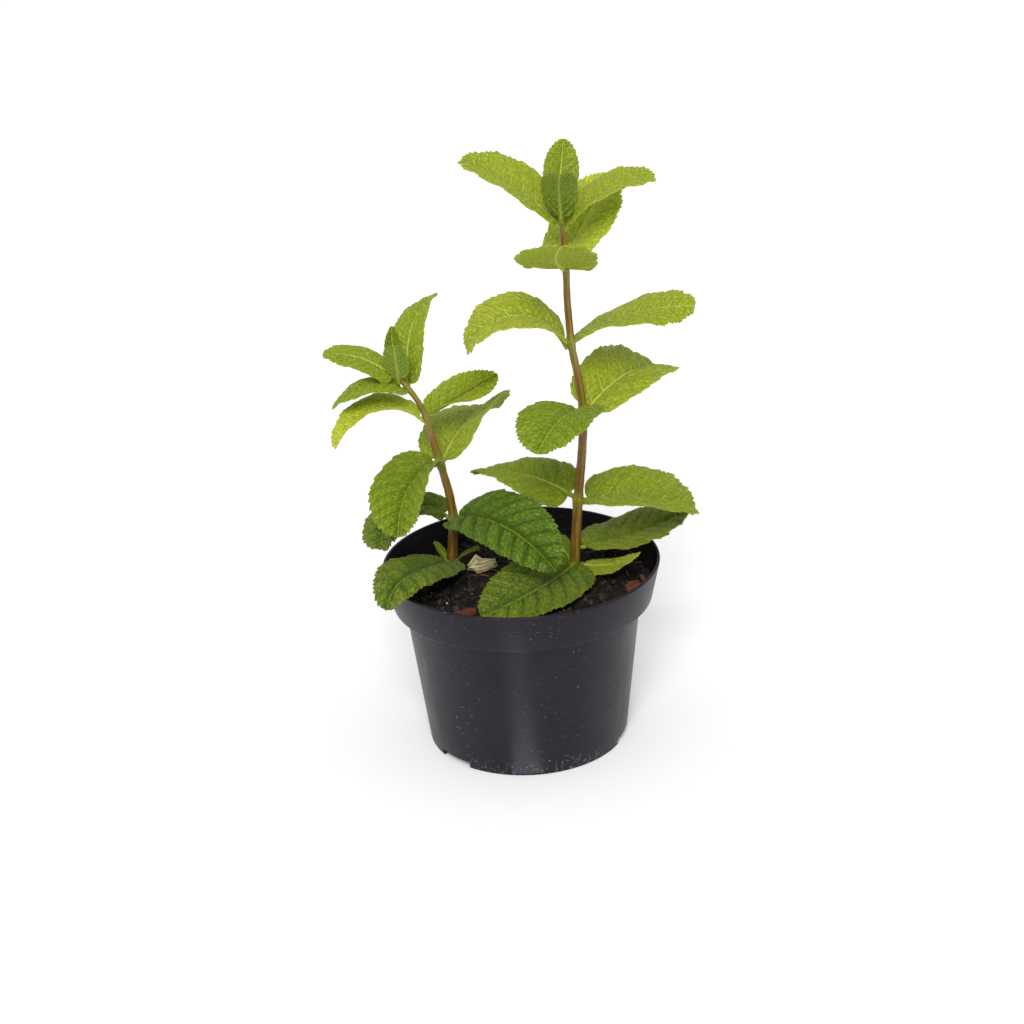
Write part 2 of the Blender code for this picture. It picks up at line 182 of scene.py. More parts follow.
def buildStem(name, form, finish):
    # square section with rounded corners, the radius times 1 + 0.075 cos 4a - 0.02 cos 8a; a collar line
    # goes round it just under each node, and its centreline is smoothed over 5 mm
    stem = stems[name]
    zs = np.linspace(stem["points"][0][2], stem["points"][-1][2], form["rows"])
    centre = stemCentre(name, zs)
    reach = int(form["smoothOver"] / (zs[1] - zs[0]))
    window = np.hanning(2 * reach + 1)
    window /= window.sum()
    for axis in (0, 1):
        padded = np.pad(centre[:, axis], reach, mode="reflect", reflect_type="odd")
        centre[:, axis] = np.convolve(padded, window, "valid")
    angle = np.linspace(0, 2 * np.pi, form["sides"], endpoint=False)
    off = angle - math.radians(stem["turn"])
    square = 1 + form["squareness"] * np.cos(4 * off) - form["sideGroove"] * np.cos(8 * off)
    collar = sum(np.exp(-((zs - node + form["collarBelow"]) / form["collarReach"]) ** 2)
                 for node in stem["nodes"])
    ripple = 0.02 * np.sin(zs * 0.9 + 1.3) + 0.012 * np.sin(zs * 2.3)
    left = (zs[-1] - zs) / form["tipRounding"]
    radius = stemRadius(name, zs) * (1 + form["collar"] * collar + ripple)
    radius = radius * np.where(left < 1, np.sqrt(np.clip(left, 0.05, 1)), 1)
    reachOut = radius[:, None] * square
    points = np.stack([centre[:, 0:1] + reachOut * np.cos(angle), centre[:, 1:2] + reachOut * np.sin(angle),
                       np.tile(zs[:, None], (1, len(angle)))], -1)
    nearNode = sum(np.exp(-((zs - node) / form["greenReach"]) ** 2) for node in stem["nodes"])
    soilLine = stem["points"][1][2]
    attributes = {"nearNode": np.repeat(np.clip(nearNode, 0, 1), len(angle)),
                  "upward": np.repeat((zs - soilLine) / (zs[-1] - soilLine), len(angle)),
                  "corner": np.tile(0.5 + 0.5 * np.cos(4 * off), len(zs))}
    piece = makePiece(name + "_skin", points, ringFaces(len(zs), len(angle)), finish, attributes)
    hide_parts(name)


def stemFinish():
    # living mint stem: smooth waxy skin, amber brown where the sun reddens it and green at the joints and
    # the tip; fine lengthwise streaks about 0.5 mm apart and paler corners
    made, shader, node = newMaterial("livingStem")
    nearNode, upward, corner = (node("Attribute", attribute_name=name, out="Fac")
                                for name in ("nearNode", "upward", "corner"))
    place = node("TexCoord", out="Object")
    drawn = node("Mapping", place, Scale=(2000, 2000, 90))
    streaks = node("TexNoise", drawn, Scale=1.0, Detail=4.0, out="Fac")
    blotches = node("TexNoise", place, Scale=110.0, Detail=3.0, out="Fac")
    brown = node("ValToRGB", streaks,
                 stops=[(0.3, paint("#532f09")), (0.55, paint("#7a5218")), (0.75, paint("#957030"))])
    green = node("ValToRGB", streaks, stops=[(0.3, paint("#666c12")), (0.7, paint("#8b922a"))])
    greening = node("Math MULTIPLY_ADD", nearNode, 0.75, node("Math MULTIPLY", upward, 0.1))
    patchy = node("Math MULTIPLY_ADD", blotches, 0.9, -0.42)
    greening = node("Math ADD", greening, patchy, use_clamp=True)
    colour = node("Mix RGBA", greening, brown, green)
    colour = node("Mix RGBA", node("Math MULTIPLY", corner, 0.25), colour, paint("#a2853a"))
    plug(shader, {"Base Color": colour, "Roughness": 0.4, "Subsurface Weight": 0.12,
                  "Subsurface Scale": 0.001, "Subsurface Radius": (1.0, 0.7, 0.2),
                  "Normal": node("Bump", Strength=0.35, Distance=0.0003, Height=streaks)})
    return made


# the leaves

# Each stem's leaves as the CAD has them: name, height, heading, sweep, rise, droop, hook, petiole, length,
# width, roll, twist, fold and curl; then the tone, which also carries painted light: from -1 for a thin leaf
# with a painted glow as if lit from behind, to 3 for old and dark, and age, the share of yellowing and brown
# spots.
leafKeys = ("name", "z", "heading", "sweep", "rise", "droop", "hook", "petiole", "length", "width",
            "roll", "twist", "fold", "curl", "toneAndPaintedLight", "age")
leafTable = {
    "tall_stem": [
        ("tall_base_front_leaf", 75, -106, -48, 9, 19, 1, 9, 65, 33, -20, 6, 15, 10, 2.4, 0.3),
        ("tall_base_right_leaf", 81, 26, -34, -6, -38, 1, 5, 53, 32, -2, 10, 15, 12, 1.4, 0.4),
        ("tall_base_small_leaf", 74, -36, -10, 4, -34, 1, 4, 34, 16, 5, 8, 2, 12, 0.3, 0.1),
        ("tall_base_inner_leaf", 75, 135, 0, 45, 0, 1, 3, 12, 10, 0, 0, 15, 0, 1.3, 0),
        ("tall_base_sprout", 75, 195, 20, 40, 0, 1, 2, 11, 6, 0, 0, 15, 0, 1, 0),
        ("tall_node1_left_leaf", 105.5, 149, 16, 26, 38, 1, 4, 47, 31, -30, 52, 10, 12, 0.9, 0.05),
        ("tall_node1_right_leaf", 104, -9, 18, 12, 42, 1, 3, 49, 34, 9, 3, 24, 13, 0.8, 0.1),
        ("tall_node2_front_leaf", 145, -111, -6, 24, 50, 1, 3, 51, 31, 0, -5, 18, 14, 1.1, 0),
        ("tall_node2_right_leaf", 145, 39, 19, 36, 64, 1, 3, 54, 34, 19, -9, 23, 14, 0.1, 0),
        ("tall_node3_left_leaf", 175.5, -173, -26, 64, 138, 1, 3, 52, 27, -4, -28, 20, 16, -0.1, 0),
        ("tall_node3_right_leaf", 175.5, 33, -46, 21, 21, 1, 2, 54, 32, -26, 51, 10, 22, 0.1, 0.05),
        ("tall_node4_front_leaf", 207, -109, 30, 23, -6, 1, 3, 42, 32, 0, -5, 14, 33, 0.5, 0),
        ("tall_node4_back_leaf", 207, 77, -52, 29, -24, 1, 3, 47, 30, -22, 45, 16, 19, -1, 0),
        ("tall_node5_left_leaf", 225, 150, 10, 44, 29, 1, 3, 49, 26, -4, -11, 24, 13, 0.15, 0),
        ("tall_node5_right_leaf", 224, 22, -20, 49, 51, 1, 3, 42, 24, -9, 25, 20, 16, 0.15, 0),
        ("tall_tip_back_leaf", 229, 98, -50, 50, -30, 1, 3, 31, 15, 16, 28, 11, 4, 0.7, 0),
        ("tall_tip_front_leaf", 228, -99, 12, 64, 28, 1, 2, 27, 16, -4, 4, 24, -6, 1.8, 0),
    ],
    "short_stem": [
        ("short_base_rim_leaf", 74.5, -110, -8, 16, 90, 6, 7, 66, 27, -8, 0, 10, 10, 2.6, 0.3),
        ("short_base_sprout", 74, 150, 20, 54, 0, 1, 2, 9, 6, 0, 0, 15, 0, 1.2, 0),
        ("short_base_small_leaf", 75, -20, 0, 30, 0, 1, 2, 11, 8, 0, 0, 15, 0, 1.5, 0),
        ("short_node1_front_leaf", 94, -52, 4, 26, 61, 1, 3, 66, 32, 18, 6, 22, 10, 2.5, 0),
        ("short_node1_left_leaf", 95, 165, 80, 34, 98, 1, 4, 40, 30, -5, 25, 14, 12, 2.2, 0.3),
        ("short_node2_left_leaf", 121, -137, 43, -2, 52, 1, 2, 43, 29, 3, -1, 33, 3, 1.3, 0.1),
        ("short_node2_right_leaf", 121, 64, -7, 37, 56, 1, 2, 54, 34, -6, -21, 23, 8, 0.4, 0.05),
        ("short_node3_left_leaf", 143, -151, 21, 44, 92, 1, 2, 50, 21, -25, 54, 20, 12, -1, 0),
        ("short_node3_right_leaf", 143, 52, -51, 5, -28, 1, 2, 37, 19, -2, 74, 40, -1, 0.4, 0),
        ("short_node4_left_leaf", 157, -148, -25, 37, 86, 1, 3, 34, 21, -11, 25, 10, 26, 0.7, 0),
        ("short_node4_right_leaf", 157, 90, -38, 79, 76, 1, 3, 50, 17, -11, -12, 20, 16, 0.6, 0),
        ("short_tip_left_leaf", 161.5, -174, -8, 50, 52, 1, 5, 33, 20, -20, 14, 4, 11, 0.6, 0),
        ("short_tip_upright_leaf", 163, 110, 30, 70, -30, 1, 2.5, 21, 7, -12, 2, 5, 7, 1.3, 0),
        ("short_tip_front_leaf", 162.4, -97, -10, 78, 0, 1, 1.5, 16, 11, 0, -6, 6, 5, 2, 0),
    ],
}

leafForm = {
    "grid": (132, 45), "smallGrid": (84, 29), "smallWidth": 15,
    "widestAt": 0.375, "basePower": 0.45, "tipPower": 0.75,
    "thickness": 0.34, "edgeThickness": 0.16,
    "petioleRadius": 1.05, "petioleRows": 14, "bareStalk": 0.5, "stemGap": 0.35, "stalkTilt": 0.9,
    "fullWidth": 30, "fullToothWidth": 28,
    "toothSpacing": 2.6, "toothDepth": 0.85, "toothClimb": 0.8,
    "veinPairs": 8, "veinSweep": (-0.45, 0.55), "pillow": (0.7, 1.9),
    "midribGroove": 0.35, "midribRidge": 0.7,
    "cellsPerVein": 3.0, "cellLength": 2.3, "quiltHeight": (0.42, 0.75),
    "edgeWave": 0.45, "waveLength": 13.0,
}


def midrib(leaf, at):
    # points and cross directions at fractions `at` of the leaf's length: the direction turns by the sweep
    # and bends down by the droop, and is summed up; past both ends the rib runs on straight
    steps = np.linspace(-0.4, 1.4, 721)
    inside = np.clip(steps, 0, 1)
    turn = np.radians(leaf["heading"] + leaf["sweep"] * inside)
    slope = np.radians(leaf["rise"] - leaf["droop"] * inside ** leaf["hook"])
    tip = np.radians(leaf["roll"] + leaf["twist"] * inside)[:, None]
    along = np.stack([np.cos(slope) * np.cos(turn), np.cos(slope) * np.sin(turn), np.sin(slope)], 1)
    level = np.stack([-np.sin(turn), np.cos(turn), 0 * turn], 1)
    above = np.cross(along, level)
    side = np.cos(tip) * level + np.sin(tip) * above
    up = np.cos(tip) * above - np.sin(tip) * level
    halves = (along[1:] + along[:-1]) / 2 * (steps[1] - steps[0]) * leaf["length"]
    points = np.vstack([np.zeros(3), np.cumsum(halves, 0)])
    points -= points[np.argmin(abs(steps))]
    return [np.stack([np.interp(at, steps, part[:, i]) for i in range(3)], -1) for part in (points, side, up)]


def halfWidth(leaf, form, u):
    # ovate: u^0.45 (1-u)^0.75, scaled to the leaf's width at its widest
    base, tip, widest = form["basePower"], form["tipPower"], form["widestAt"]
    return leaf["width"] / 2 * u ** base * (1 - u) ** tip / (widest ** base * (1 - widest) ** tip)


def toothed(leaf, form, u, phase):
    # saw teeth by arc length down the margin: each climbs over 80 % of its pitch and drops over the rest
    reach = halfWidth(leaf, form, u)
    down = u * (leaf["length"] - leaf["petiole"])
    arc = np.concatenate([[0], np.cumsum(np.hypot(np.diff(reach), np.diff(down)))])
    saw = (arc / form["toothSpacing"] + phase + 0.22 * np.sin(arc * 0.55 + 9 * phase)) % 1
    climb = form["toothClimb"]
    tooth = np.where(saw < climb, saw / climb, (1 - saw) / (1 - climb))
    depth = form["toothDepth"] * np.clip(leaf["width"] / form["fullToothWidth"], 0.35, 1)
    return tooth * depth * smooth(0.0, 0.05, u) * (1 - smooth(0.93, 1.0, u)), arc


def scatteredNet(low, high, size, dice):
    # one spot in each square of a grid, moved about inside it, with a random tag
    counts = np.ceil((np.array(high) - np.array(low)) / size).astype(int) + 3
    corner = np.array(low, float) - size
    index = np.stack(np.meshgrid(*(np.arange(n) for n in counts), indexing="ij"), -1)
    spots = corner + (index + 0.5 + dice.uniform(-0.42, 0.42, index.shape)) * size
    return {"corner": corner, "size": size, "counts": counts, "spots": spots, "tags": dice.random(counts)}


def nearest(points, net):
    # distances to the two nearest spots, in squares, and the nearest one's tag
    cell = np.clip(np.floor((points - net["corner"]) / net["size"]).astype(int), 1, net["counts"] - 2)
    first = np.full(points.shape[:-1], 9e9)
    second = first.copy()
    tag = np.zeros(points.shape[:-1])
    for right, forward in product((-1, 0, 1), repeat=2):
        i, j = cell[..., 0] + right, cell[..., 1] + forward
        far = np.linalg.norm(points - net["spots"][i, j], axis=-1)
        closer = far < first
        second = np.where(closer, first, np.minimum(second, far))
        tag = np.where(closer, net["tags"][i, j], tag)
        first = np.where(closer, far, first)
    return first / net["size"], second / net["size"], tag


def buildLeaf(leaf, form, finish, number):
    # the blade is a sheet over (u, across): a point lies `reach` to the side of the midrib, lifted by the
    # fold less the curl, plus the margin's ripple; top and underside stand off it along its normal by the
    # relief and half the thickness, and a stalk joins the blade to the stem
    dice = np.random.default_rng(seed + number)
    small = np.clip(leaf["width"] / form["fullWidth"], 0.25, 1)  # how near a leaf is to full size
    rows, columns = form["grid" if leaf["width"] > form["smallWidth"] else "smallGrid"]
    petiole = leaf["petiole"] * form["bareStalk"]  # the blade narrows into the upper part of the stalk
    bladeLength = leaf["length"] - petiole
    t = np.linspace(0, 1, rows)
    u = np.clip(0.65 * t + 0.35 * (0.5 - 0.5 * np.cos(np.pi * t)), 0.0015, 0.9985)
    s = np.linspace(1, -1, columns)
    across = 0.55 * s + 0.45 * np.sin(s * np.pi / 2)
    leftSide = across > 0

    # outline: each row runs out along a side vein, back near the base and forward further out
    teethLeft, arcLeft = toothed(leaf, form, u, dice.uniform())
    teethRight, arcRight = toothed(leaf, form, u, dice.uniform())
    teeth = np.where(leftSide, teethLeft[:, None], teethRight[:, None])
    outer = smooth(0.78, 1.0, abs(across))
    reach = halfWidth(leaf, form, u)[:, None] * across + np.sign(across) * teeth * outer
    swept = np.interp(u, (0, 0.45), form["veinSweep"])[:, None]
    along = abs(reach) * swept + 0.5 * teeth * outer
    start = petiole / leaf["length"]
    at = start + (1 - start) * u[:, None] + along / leaf["length"]
    points, side, up = midrib(leaf, at)
    lift = np.broadcast_to(np.radians(leaf["fold"] - leaf["curl"] * abs(across) / 2), reach.shape)[..., None]
    sheet = points + side * reach[..., None] * np.cos(lift) + up * abs(reach)[..., None] * np.sin(lift)

    # margins that ripple: sines of arc length that die away towards the midrib
    arc = np.where(leftSide, arcLeft[:, None], arcRight[:, None])
    phase = np.where(leftSide, dice.uniform(0, 6.3), dice.uniform(0, 6.3))
    wave = np.sin(arc * 2 * np.pi / form["waveLength"] + phase)
    wave = wave + 0.4 * np.sin(arc * 2 * np.pi / (form["waveLength"] * 0.43) + 2 * phase)
    wave = wave * smooth(0, 0.12, u)[:, None] * (1 - 0.5 * smooth(0.85, 1, u))[:, None]
    sheet = sheet + up * (form["edgeWave"] * small * wave * abs(across) ** 2.5)[..., None]
    normal = np.cross(np.gradient(sheet, axis=1), np.gradient(sheet, axis=0))
    normal /= np.linalg.norm(normal, axis=2, keepdims=True) + 1e-9

    # relief: pillows between the side veins, as |sin(pi x vein row)|^0.75, a net of small cushions, and the
    # midrib's furrow; a side vein leaves the midrib at about 60 degrees and bends forward further out
    offRib = abs(reach)
    flat = np.stack([along + u[:, None] * bladeLength, reach], -1)
    origin = (flat[..., 0] - 0.55 * offRib - 0.02 * offRib ** 2 / small) / bladeLength
    veinRow = form["veinPairs"] * (np.clip(origin + 0.45, 0, 2) / 1.45) ** 1.15 * 1.35
    veinRow = veinRow + np.where(leftSide, 0.0, 0.4)  # the two sides' veins leave in turn
    fromRib = 1 - np.exp(-(offRib / (2.0 * small)) ** 2)
    pillow = abs(np.sin(np.pi * veinRow)) ** 0.75 * fromRib
    woven = np.stack([veinRow * form["cellsPerVein"], reach / (form["cellLength"] * small ** 0.5)], -1)
    net = scatteredNet(woven.min((0, 1)), woven.max((0, 1)), 1.0, dice)
    near, second = nearest(woven, net)[:2]
    cushion = smooth(0.0, 0.5, second - near)
    old = np.clip(leaf["toneAndPaintedLight"] / 3, 0, 1)
    bulge, quilt = (np.interp(old, (0, 1), form[key]) for key in ("pillow", "quiltHeight"))
    height = bulge * small * pillow + quilt * small ** 0.5 * cushion * (0.4 + 0.6 * fromRib)
    # crest: how high the quilting stands, which the finish turns into a painted highlight
    crest = pillow * (0.75 + 0.25 * cushion)
    height = height * (1 - 0.75 * abs(across) ** 5)
    height = height - form["midribGroove"] * small * np.exp(-(offRib / 0.8) ** 2)
    ridge = form["midribRidge"] * small * np.exp(-(offRib / 0.55) ** 2) * (1 - 0.7 * u[:, None])
    thick = form["edgeThickness"] + (form["thickness"] - form["edgeThickness"]) * (1 - abs(across) ** 8)
    top = sheet + normal * (height + thick / 2)[..., None]
    under = sheet + normal * (height * 0.85 - thick / 2 - ridge)[..., None]
    blade = np.concatenate([top, under[:, ::-1]], 1)

    # petiole: a stalk with a shallow channel on top, from inside the stem to the blade's base
    outward = math.radians(leaf["heading"])
    stand = stemRadius(leaf["stem"], leaf["z"]) * 1.1 + form["stemGap"]
    stand = stand + form["stalkTilt"] * math.sin(math.radians(leaf["rise"]))
    stalkRows = form["petioleRows"]
    stalk, stalkSide, stalkUp = midrib(leaf, np.linspace(-stand / leaf["length"], start * 0.97, stalkRows))
    half = np.linspace(0.05, np.pi - 0.05, columns)
    angle = np.concatenate([half, half + np.pi])
    radius = form["petioleRadius"] * (0.55 + 0.45 * small)
    outwards = np.linspace(0, 1, stalkRows)
    flare = 1 + 0.5 * smooth(0.55, 1.0, outwards) + 0.35 * smooth(0.4, 0.0, outwards)
    wide = radius * np.cos(angle)
    tall = radius * 0.85 * np.sin(angle) - 0.3 * radius * (np.sin(angle) > 0) * np.exp(-(wide / 0.35) ** 2)
    tube = (stalk[:, None] + stalkSide[:, None] * (wide * flare[:, None])[..., None]
            + stalkUp[:, None] * tall[:, None])
    place = stemCentre(leaf["stem"], leaf["z"]) + stand * np.array([math.cos(outward), math.sin(outward), 0])
    body = np.concatenate([tube, blade], 0) + place

    def both(grid, stalkValue):
        # the same value on the top and the underside, and one value on the stalk
        grid = grid + 0 * reach
        grid = np.concatenate([grid, grid[:, ::-1]], 1)
        return np.concatenate([np.full((stalkRows, 2 * columns), float(stalkValue)), grid], 0).ravel()

    topside = np.concatenate([1 + 0 * reach, 0 * reach], 1)
    attributes = {
        "leafPlace": np.stack([both(flat[..., 0], 0), both(flat[..., 1], 0),
                               both(number * 7.0, number * 7.0)], -1),
        "veinRow": both(veinRow, 0.5), "edge": both(abs(across), 0), "tipward": both(u[:, None], 0),
        "cushion": both(cushion, 1), "crest": both(crest, 0.5),
        "toneAndPaintedLight": both((leaf["toneAndPaintedLight"] + 1) / 4, (leaf["toneAndPaintedLight"] + 1) / 4),
        "age": both(leaf["age"], 0), "stalk": both(0, 1),
        "topside": np.concatenate([np.ones((stalkRows, 2 * columns)), topside], 0).ravel(),
    }
    faces = ringFaces(stalkRows + rows, 2 * columns)
    piece = makePiece(leaf["name"] + "_blade", body, faces, finish, attributes)
    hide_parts(leaf["name"])


def leafFinish(look):
    # mint leaf: thin living tissue with a soft waxy sheen, quilted between its veins. The midrib is a paler
    # line that narrows from 1.3 to 0.4 mm, side veins are 0.4 mm wide, a net of fine veins closes cells
    # about 1 mm across, the crests of the quilting carry a painted highlight and its furrows painted shade,
    # and the underside is paler and duller. An ageing leaf turns yellowish with brown spots near its edge.
    made, shader, node = newMaterial("livingMintLeaf")
    tipward, edge, topside, toneAndPaintedLight, age, crest, cushion, veinRow, stalk = (
        node("Attribute", attribute_name=name, out="Fac")
        for name in ("tipward", "edge", "topside", "toneAndPaintedLight", "age", "crest", "cushion", "veinRow", "stalk"))
    onLeaf = node("Attribute", attribute_name="leafPlace", out="Vector")
    blade, bright, groove, veinTint, under = (
        node("ValToRGB", toneAndPaintedLight, stops=[(i / 4, paint(colour)) for i, colour in enumerate(look[part])])
        for part in ("blade", "bright", "groove", "vein", "under"))

    # distance from the midrib in millimetres, against a rib that narrows towards the tip
    offRib = node("Math ABSOLUTE", node("SeparateXYZ", onLeaf, out="Y"))
    ribWidth = node("Math MULTIPLY_ADD", tipward, -0.5, 0.75)
    rib = node("Math SUBTRACT", 1.35, node("Math DIVIDE", offRib, ribWidth), use_clamp=True)
    # side veins lie where veinRow is whole and fade towards the edge
    nearVein = node("Math MULTIPLY", node("Math PINGPONG", veinRow, 0.5), 17.0)
    vein = node("Math SUBTRACT", 1.1, nearVein, use_clamp=True)
    vein = node("Math MULTIPLY", vein, node("Math MULTIPLY_ADD", edge, -0.55, 0.9))
    lines = node("Math MAXIMUM", rib, vein)
    # the net of fine veins, grain, and broad patches
    net = node("TexVoronoi", onLeaf, feature="DISTANCE_TO_EDGE", Scale=0.95, Randomness=0.9, out="Distance")
    cell = node("Math MULTIPLY", net, 9.0, use_clamp=True)
    fine = node("TexNoise", onLeaf, Scale=2.4, Detail=3.0, out="Fac")
    patches = node("TexNoise", onLeaf, Scale=0.10, Detail=2.0, out="Fac")
    spread = node("TexNoise", onLeaf, Scale=0.42, Detail=2.0, out="Fac")

    # painted highlight on the quilting's crests, mixed with broad patches of tone; painted shade in its
    # furrows
    furrow = node("Math SUBTRACT", 1.0, cushion, use_clamp=True)
    lift = node("Math MULTIPLY_ADD", crest, 0.6, node("Math MULTIPLY_ADD", patches, 0.6, -0.35),
                use_clamp=True)
    skin = node("Mix RGBA", lift, blade, bright)
    netted = node("Math MULTIPLY_ADD", toneAndPaintedLight, -0.3, 0.8)
    skin = node("Mix RGBA", node("Math MULTIPLY", furrow, netted), skin, groove)
    # the finest net is pale threads on young leaves and dark lines of painted shade on old ones
    seam = node("Mix RGBA", node("Math MULTIPLY_ADD", toneAndPaintedLight, 2.6, -0.85, use_clamp=True), veinTint, groove)
    between = node("Math MULTIPLY", node("Math SUBTRACT", 1.0, cell), 0.42)
    skin = node("Mix RGBA", between, skin, seam)
    # old leaves have painted shade over their sunk side veins, young ones show them pale
    sunk = node("Math MULTIPLY", node("Math MULTIPLY_ADD", toneAndPaintedLight, 2.2, -1.0, use_clamp=True), vein)
    skin = node("Mix RGBA", sunk, skin, groove)
    pale = node("Math MULTIPLY_ADD", toneAndPaintedLight, -1.3, 1.25, use_clamp=True)
    shown = node("Math MAXIMUM", node("Math MULTIPLY", vein, pale), node("Math MULTIPLY", rib, 0.9))
    skin = node("Mix RGBA", shown, skin, veinTint)
    below = node("Mix RGBA", node("Math MULTIPLY", lines, 0.85), under, veinTint)
    below = node("Mix RGBA", node("Math MULTIPLY", furrow, 0.35), below, veinTint)
    colour = node("Mix RGBA", topside, below, skin)
    # ageing: yellow spreads in from the edge, and brown spots 1 to 2 mm across come after it
    inward = node("Math MULTIPLY_ADD", edge, 0.7, -0.95)
    inward = node("Math MULTIPLY_ADD", patches, 2.0, inward, use_clamp=True)
    colour = node("Mix RGBA", node("Math MULTIPLY", age, inward), colour, paint(look["yellow"]))
    spots = node("Math MULTIPLY_ADD", spread, 9.0, -5.6, use_clamp=True)
    colour = node("Mix RGBA", node("Math MULTIPLY", age, spots), colour, paint(look["brown"]))
    colour = node("Mix RGBA", stalk, colour, paint(look["stalk"]))
    rough = node("Math MULTIPLY_ADD", topside, -0.08, node("Math MULTIPLY_ADD", fine, 0.16, 0.42))
    relief = node("Math MULTIPLY_ADD", fine, 0.3, node("Math MULTIPLY", cell, 0.7))
    relief = node("Math SUBTRACT", relief, node("Math MULTIPLY", lines, 0.8))
    plug(shader, {"Base Color": colour, "Roughness": rough, "Specular IOR Level": 0.32,
                  "Subsurface Weight": 0.45, "Subsurface Scale": 0.001,
                  "Subsurface Radius": (0.6, 0.9, 0.2),
                  "Normal": node("Bump", Strength=0.9, Distance=0.0004, Height=relief)})
    return made


leafLook = {  # colours from a leaf painted as if lit from behind, through young ones, to an old, dark one
    "blade": ("#b6c012", "#94a006", "#7a9008", "#5e7709", "#425d08"),
    # bright: the painted highlight on the crests of the quilting, also used for broad patches of tone
    "bright": ("#d0d62a", "#b4bc14", "#9db018", "#84a01a", "#74981c"),
    # groove: painted shade in the furrows, over the sunk side veins and in the finest net of old leaves
    "groove": ("#8e9e10", "#6f8208", "#526b08", "#3b5507", "#233c05"),
    "vein": ("#e2e880", "#dbe06a", "#c2cd54", "#9db047", "#83963a"),
    "under": ("#aeb632", "#a0a828", "#8c9a22", "#748720", "#586d1c"),
    "yellow": "#8d8420", "brown": "#4c3312", "stalk": "#8a9626",
}

# the pot

potForm = {
    "height": 82.0, "rimRadius": 60.0, "bandHeight": 17.0, "bandFootRadius": 56.3, "wallTopRadius": 51.4,
    "footRadius": 43.9, "wall": 1.3, "segments": 256, "sharpDegrees": 38,
    "outerRounding": (0.8, 0.8, 0.7, 0.5), "innerRounding": (1.0, 0.8, 0.6, 0.5, 0), "lipFlare": 0.6,
    "channelAngles": (-18.0, -138.0, 102.0), "channelWidth": 17.0, "channelHeight": 3.0,
    "channelStart": 24.0, "drainRadius": 4.0, "drainAt": 35.0,
}


def rounded(corners, radii, steps=5):
    # a profile through the corners, each turned into an arc of its radius with `steps` points
    arcs = []
    corners = [np.array(c, float) for c in corners]
    for before, here, after, radius in zip(corners, corners[1:], corners[2:], radii):
        if radius == 0:
            arcs.append(here)
            continue
        a, b = before - here, after - here
        a, b = a / np.linalg.norm(a), b / np.linalg.norm(b)
        half = math.acos(np.clip(a @ b, -1, 1)) / 2
        cut = radius / math.tan(half)
        for part in np.linspace(0, 1, steps):
            first, second = here + a * cut * (1 - part), here + b * cut * part
            arcs.append(first * (1 - part) + second * part)
    return [corners[0], *arcs, corners[-1]]


def turnedMesh(name, profile, segments):
    # carries a profile of (radius, height) round the Z axis; both ends close on the axis
    profile = np.array(profile)
    angle = np.linspace(0, 2 * np.pi, segments, endpoint=False)
    ring = profile[1:-1]
    points = np.stack([ring[:, 0:1] * np.cos(angle), ring[:, 0:1] * np.sin(angle),
                       ring[:, 1:2] + 0 * angle], -1).reshape(-1, 3)
    points = np.vstack([points, [0, 0, profile[0, 1]], [0, 0, profile[-1, 1]]])
    rows = len(ring)
    faces = ringFaces(rows, segments)[:-2]
    here, beside = np.arange(segments), (np.arange(segments) + 1) % segments
    low, high = rows * segments, rows * segments + 1
    faces += np.stack([beside, here, np.full(segments, low)], -1).tolist()
    top = (rows - 1) * segments
    faces += np.stack([top + here, top + beside, np.full(segments, high)], -1).tolist()
    return newObject(name, points, faces)


def blockMesh(name, low, high, degrees):
    # a box between two corners, turned about Z
    x, y, z = np.array(list(product(*zip(low, high))), float).T
    turn = math.radians(degrees)
    points = np.stack([x * math.cos(turn) - y * math.sin(turn),
                       x * math.sin(turn) + y * math.cos(turn), z], -1)
    faces = [(0, 1, 3, 2), (4, 6, 7, 5), (0, 4, 5, 1), (2, 3, 7, 6), (0, 2, 6, 4), (1, 5, 7, 3)]
    return newObject(name, points, faces)


def carve(target, cutter):
    # exact boolean difference, applied at once; the cutter is then gone
    step = target.modifiers.new("carve", "BOOLEAN")
    step.object = cutter
    step.operation = "DIFFERENCE"
    step.solver = "EXACT"
    graph = bpy.context.evaluated_depsgraph_get()
    result = bpy.data.meshes.new_from_object(target.evaluated_get(graph))
    target.modifiers.clear()
    target.data = result
    bpy.data.objects.remove(cutter)


